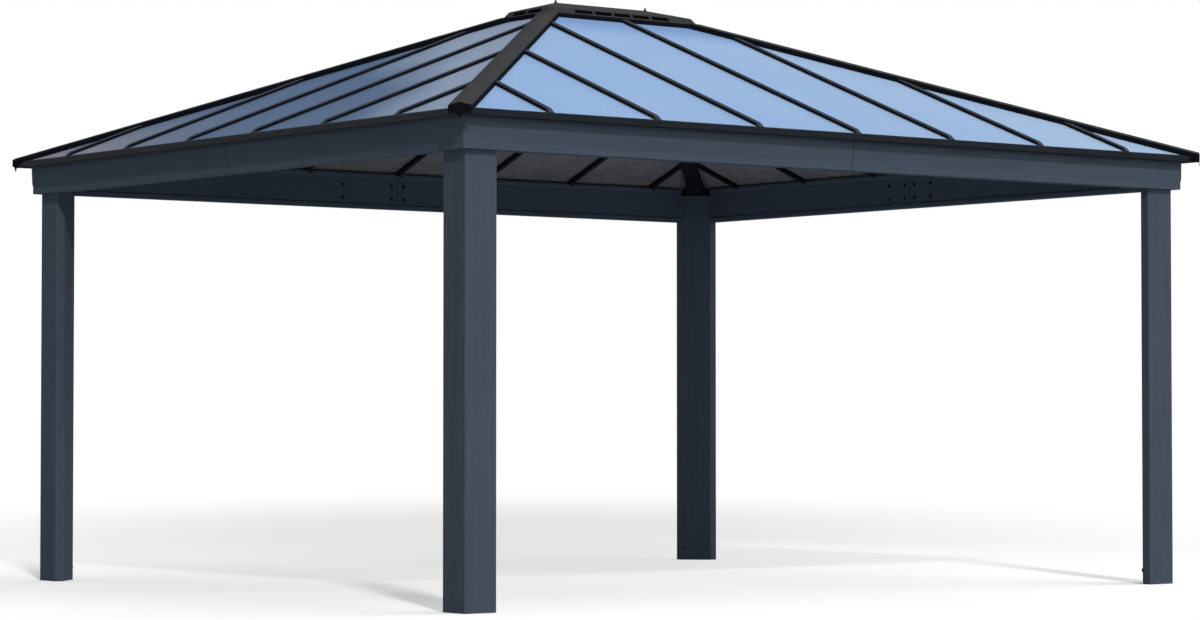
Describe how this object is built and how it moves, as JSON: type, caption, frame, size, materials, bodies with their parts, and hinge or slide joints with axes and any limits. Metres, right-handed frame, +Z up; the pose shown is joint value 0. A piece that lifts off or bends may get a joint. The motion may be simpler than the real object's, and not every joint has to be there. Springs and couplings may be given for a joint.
{
  "type": "hip-roof carport pavilion",
  "caption": "Free-standing carport: corner posts carry a flared beam frame and a hip roof of twin-wall panels between glazing bars, with folded hip caps and a slotted ridge vent.",
  "frame": {"origin": "on the floor, under the middle of the ridge", "axes": "+X along the long side of the roof, +Y from the front to the back, +Z up"},
  "size_m": [4.992, 4.372, 3.1764],
  "materials": {
    "frame": "slate grey powder coat with a fine brushed grain, satin",
    "dark_frame": "near-black satin powder coat",
    "eave_trim": "near-black satin powder coat on the drip edge and the soffit",
    "cap": "dark grey fine-textured powder coat on folded sheet",
    "panel": "tinted twin-wall polycarbonate: glossy and sky-blue above, mottled grey below"
  },
  "bodies": {
    "root": {"post_front_left": "frame", "post_front_right": "frame", "post_back_left": "frame", "post_back_right": "frame", "casing_front_left": "frame", "casing_front_right": "frame", "casing_back_left": "frame", "casing_back_right": "frame", "beam_front": "frame", "beam_right": "frame", "beam_back": "frame", "beam_left": "frame", "bracket_front_left": "dark_frame", "bracket_front_right": "dark_frame", "bracket_back_left": "dark_frame", "bracket_back_right": "dark_frame", "hip_rafter_front_left": "dark_frame", "hip_rafter_front_right": "dark_frame", "hip_rafter_back_left": "dark_frame", "hip_rafter_back_right": "dark_frame", "rafters_front": "dark_frame", "rafters_right": "dark_frame", "rafters_back": "dark_frame", "rafters_left": "dark_frame", "ridge_beam": "dark_frame", "panels_front": "panel", "panels_right": "panel", "panels_back": "panel", "panels_left": "panel", "bars_front": "dark_frame", "bars_right": "dark_frame", "bars_back": "dark_frame", "bars_left": "dark_frame", "eave_front": "eave_trim", "eave_right": "eave_trim", "eave_back": "eave_trim", "eave_left": "eave_trim", "hip_cap_front_left": "cap", "hip_cap_front_right": "cap", "hip_cap_back_left": "cap", "hip_cap_back_right": "cap", "ridge_vent": "cap"}
  },
  "joints": []
}
